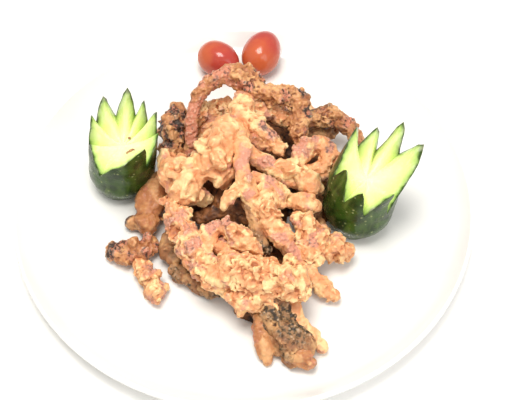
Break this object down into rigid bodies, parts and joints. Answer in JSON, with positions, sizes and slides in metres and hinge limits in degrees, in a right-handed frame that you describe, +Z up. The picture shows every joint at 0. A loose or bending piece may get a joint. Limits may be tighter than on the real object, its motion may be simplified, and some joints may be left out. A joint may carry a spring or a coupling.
{
  "type": "fried squid tentacles",
  "caption": "Heap of battered, deep-fried squid tentacles on a plain round plate, with carved cucumber crowns and plum tomatoes as garnish.",
  "frame": {"origin": "middle of the plate's foot ring, on the table", "axes": "+Z up; -Y is the diner's side, +Y the far side with the tomatoes, +X to the diner's right"},
  "size_m": [0.29, 0.29, 0.083],
  "materials": {
    "glaze": "smooth white glaze",
    "batter": "stands in for crisp golden-brown batter",
    "skin": "stands in for fried squid skin with little batter",
    "cucumber": "stands in for cut cucumber: dark green skin, pale green flesh",
    "tomato": "stands in for glossy orange-red tomato skin"
  },
  "bodies": {
    "root": {"plate": "glaze", "tentacle_heap": "batter", "tentacle_arch": "skin", "loose_bit_dark": "batter", "loose_bit_golden": "batter", "cucumber_crown_left": "cucumber", "cucumber_crown_right": "cucumber", "tomato_left": "tomato", "tomato_right": "tomato"}
  },
  "joints": []
}
